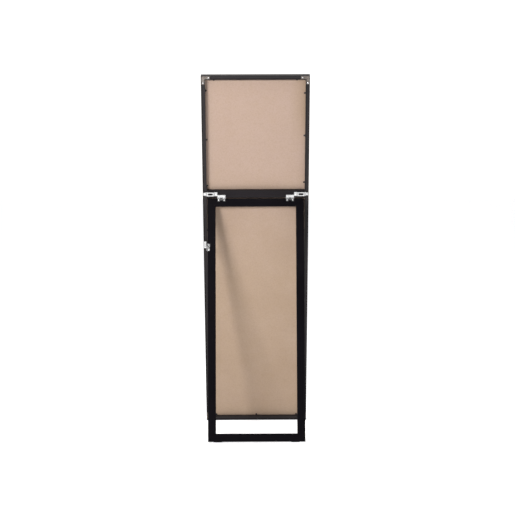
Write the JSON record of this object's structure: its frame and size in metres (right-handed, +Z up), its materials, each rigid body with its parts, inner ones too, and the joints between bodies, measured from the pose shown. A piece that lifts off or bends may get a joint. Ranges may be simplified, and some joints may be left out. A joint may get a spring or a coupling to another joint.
{
  "type": "easel floor mirror",
  "caption": "Tall rectangular floor mirror in a slim black metal frame, held up by a hinged rectangular tube stand with a folding stay and slotted hanging plates.",
  "frame": {"origin": "centre of the footprint, on the floor", "axes": "+Z up, +X to the right seen from the front, the glass faces -Y and the stand is on the +Y side"},
  "size_m": [0.4, 0.4053, 1.3664],
  "materials": {
    "frame_black": "black powder coat, satin",
    "stand_black": "black powder coat, satin",
    "zinc_steel": "zinc-plated sheet",
    "bracket_steel": "dull zinc-plated sheet",
    "screw_steel": "bright zinc plate",
    "rubber_black": "matt",
    "mirror_glass": "silvered glass",
    "safety_film": "thin film",
    "foam_white": "closed-cell foam",
    "back_board": "plain fibreboard"
  },
  "bodies": {
    "frame": {"back_panel": "back_board", "corner_bracket_bottom_left": "bracket_steel", "corner_bracket_bottom_right": "bracket_steel", "corner_bracket_top_left": "bracket_steel", "corner_bracket_top_right": "bracket_steel", "corner_screw_1": "screw_steel", "corner_screw_2": "screw_steel", "corner_screw_3": "screw_steel", "corner_screw_4": "screw_steel", "corner_screw_5": "screw_steel", "corner_screw_6": "screw_steel", "corner_screw_7": "screw_steel", "corner_screw_8": "screw_steel", "crossbar": "frame_black", "foam_sheet": "foam_white", "frame_foot_pad_left": "rubber_black", "frame_foot_pad_right": "rubber_black", "frame_rail_bottom": "frame_black", "frame_rail_left": "frame_black", "frame_rail_right": "frame_black", "frame_rail_top": "frame_black", "hanging_plate_left": "zinc_steel", "hanging_plate_right": "zinc_steel", "hanging_screw_left_1": "screw_steel", "hanging_screw_left_2": "screw_steel", "hanging_screw_right_1": "screw_steel", "hanging_screw_right_2": "screw_steel", "hinge_frame_leaf_left": "zinc_steel", "hinge_frame_leaf_right": "zinc_steel", "hinge_frame_screw_1": "screw_steel", "hinge_frame_screw_2": "screw_steel", "hinge_frame_screw_3": "screw_steel", "hinge_frame_screw_4": "screw_steel", "hinge_pin_left": "zinc_steel", "hinge_pin_right": "zinc_steel", "mirror_glass": "mirror_glass", "safety_film": "safety_film", "stay_frame_bracket": "zinc_steel", "stay_frame_rivet": "screw_steel", "stay_frame_screw_1": "screw_steel", "stay_frame_screw_2": "screw_steel"},
    "stand": {"hinge_stand_leaf_left": "zinc_steel", "hinge_stand_leaf_right": "zinc_steel", "hinge_stand_screw_1": "screw_steel", "hinge_stand_screw_2": "screw_steel", "hinge_stand_screw_3": "screw_steel", "hinge_stand_screw_4": "screw_steel", "stand_bottom_tube": "stand_black", "stand_foot_pad_left": "rubber_black", "stand_foot_pad_right": "rubber_black", "stand_leg_left": "stand_black", "stand_leg_right": "stand_black", "stand_top_tube": "stand_black", "stay_leg_bracket": "zinc_steel", "stay_leg_rivet": "screw_steel", "stay_leg_screw_1": "screw_steel", "stay_leg_screw_2": "screw_steel"},
    "stay_frame_link": {"stay_frame_link": "zinc_steel", "stay_elbow_rivet": "screw_steel"},
    "stay_leg_link": {"stay_leg_link": "zinc_steel"}
  },
  "joints": [
    {"name": "stand_fold", "type": "hinge", "parent": "frame", "child": "stand", "pos_m": [0, 0.05357, 0.9057], "axis": [1, 0, 0], "range_deg": [-23.5, 0]},
    {"name": "stay_frame_pivot", "type": "hinge", "parent": "frame", "child": "stay_frame_link", "pos_m": [0.1881, 0.01159, 0.72448], "axis": [1, 0, 0], "range_deg": [-102.8, 0]},
    {"name": "stay_elbow", "type": "hinge", "parent": "stay_frame_link", "child": "stay_leg_link", "pos_m": [0.18735, 0.04946, 0.72362], "axis": [1, 0, 0], "range_deg": [0, 180.2]}
  ],
  "couplings": [
    {"joint": "stay_frame_pivot", "follows": "stand_fold", "ratio": 4.3704},
    {"joint": "stay_elbow", "follows": "stand_fold", "ratio": -7.6596}
  ]
}
